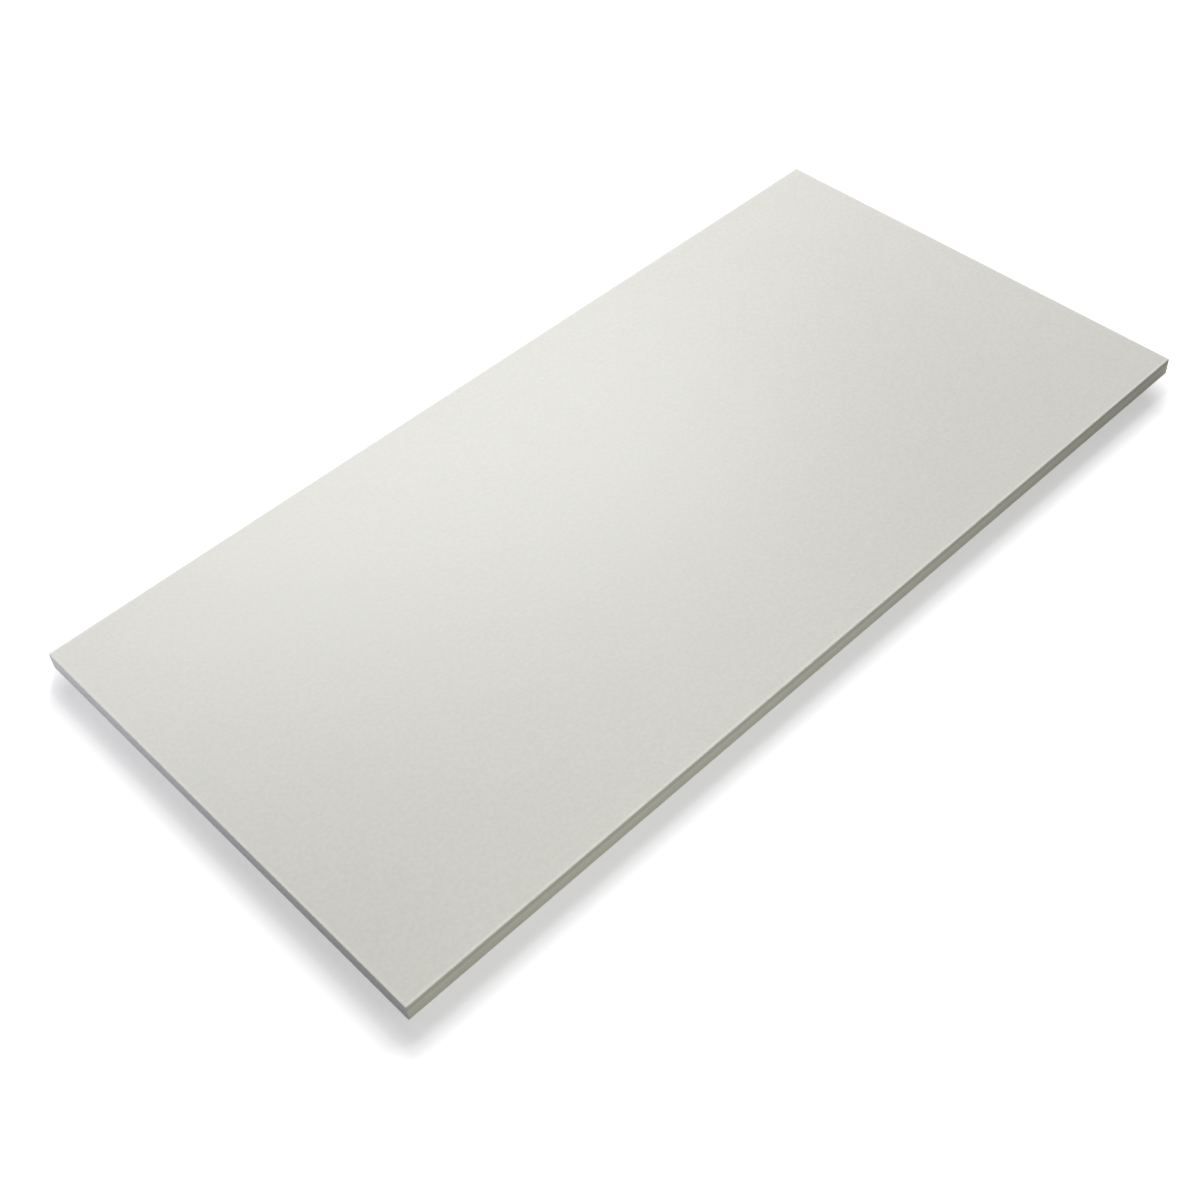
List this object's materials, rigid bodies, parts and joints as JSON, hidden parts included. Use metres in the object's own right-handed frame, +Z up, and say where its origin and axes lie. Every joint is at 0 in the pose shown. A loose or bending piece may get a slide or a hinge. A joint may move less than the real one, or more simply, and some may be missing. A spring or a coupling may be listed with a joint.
{
  "type": "fiber cement board",
  "caption": "Flat rectangular off-white fiber cement board with square sawn edges, used as a floor, lining or backer sheet.",
  "frame": {"origin": "centre of the underside, the face that the board lies on", "axes": "+X along the length, +Y across the width, +Z up through the thickness to the finished face"},
  "size_m": [1.2, 0.6, 0.022],
  "materials": {
    "fiber_cement": "matte"
  },
  "bodies": {
    "root": {"board": "fiber_cement"}
  },
  "joints": []
}
